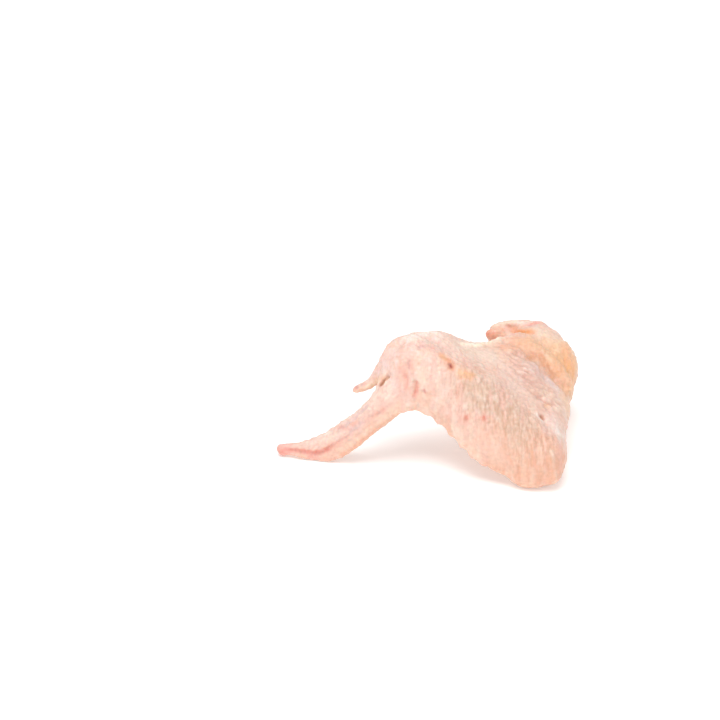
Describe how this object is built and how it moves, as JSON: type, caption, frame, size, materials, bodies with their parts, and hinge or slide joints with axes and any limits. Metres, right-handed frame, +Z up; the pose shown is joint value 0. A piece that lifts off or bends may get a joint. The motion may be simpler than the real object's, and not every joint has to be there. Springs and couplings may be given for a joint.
{
  "type": "raw chicken wing",
  "caption": "Whole raw chicken wing with skin, folded: pointed tip on the surface at one side, raised wrist, flat, elbow and thick cut shoulder.",
  "frame": {"origin": "on the surface that the wing rests on, under the middle of the wing's box", "axes": "+X from the wing tip to the drumette, +Y from the elbow to the cut shoulder, +Z up"},
  "size_m": [0.1442, 0.1084, 0.0597],
  "materials": {
    "skin": "moist raw poultry skin, pale pinkish cream with peach and yellow fat, soft wet sheen"
  },
  "bodies": {
    "root": {"chicken_wing": "skin"}
  },
  "joints": []
}
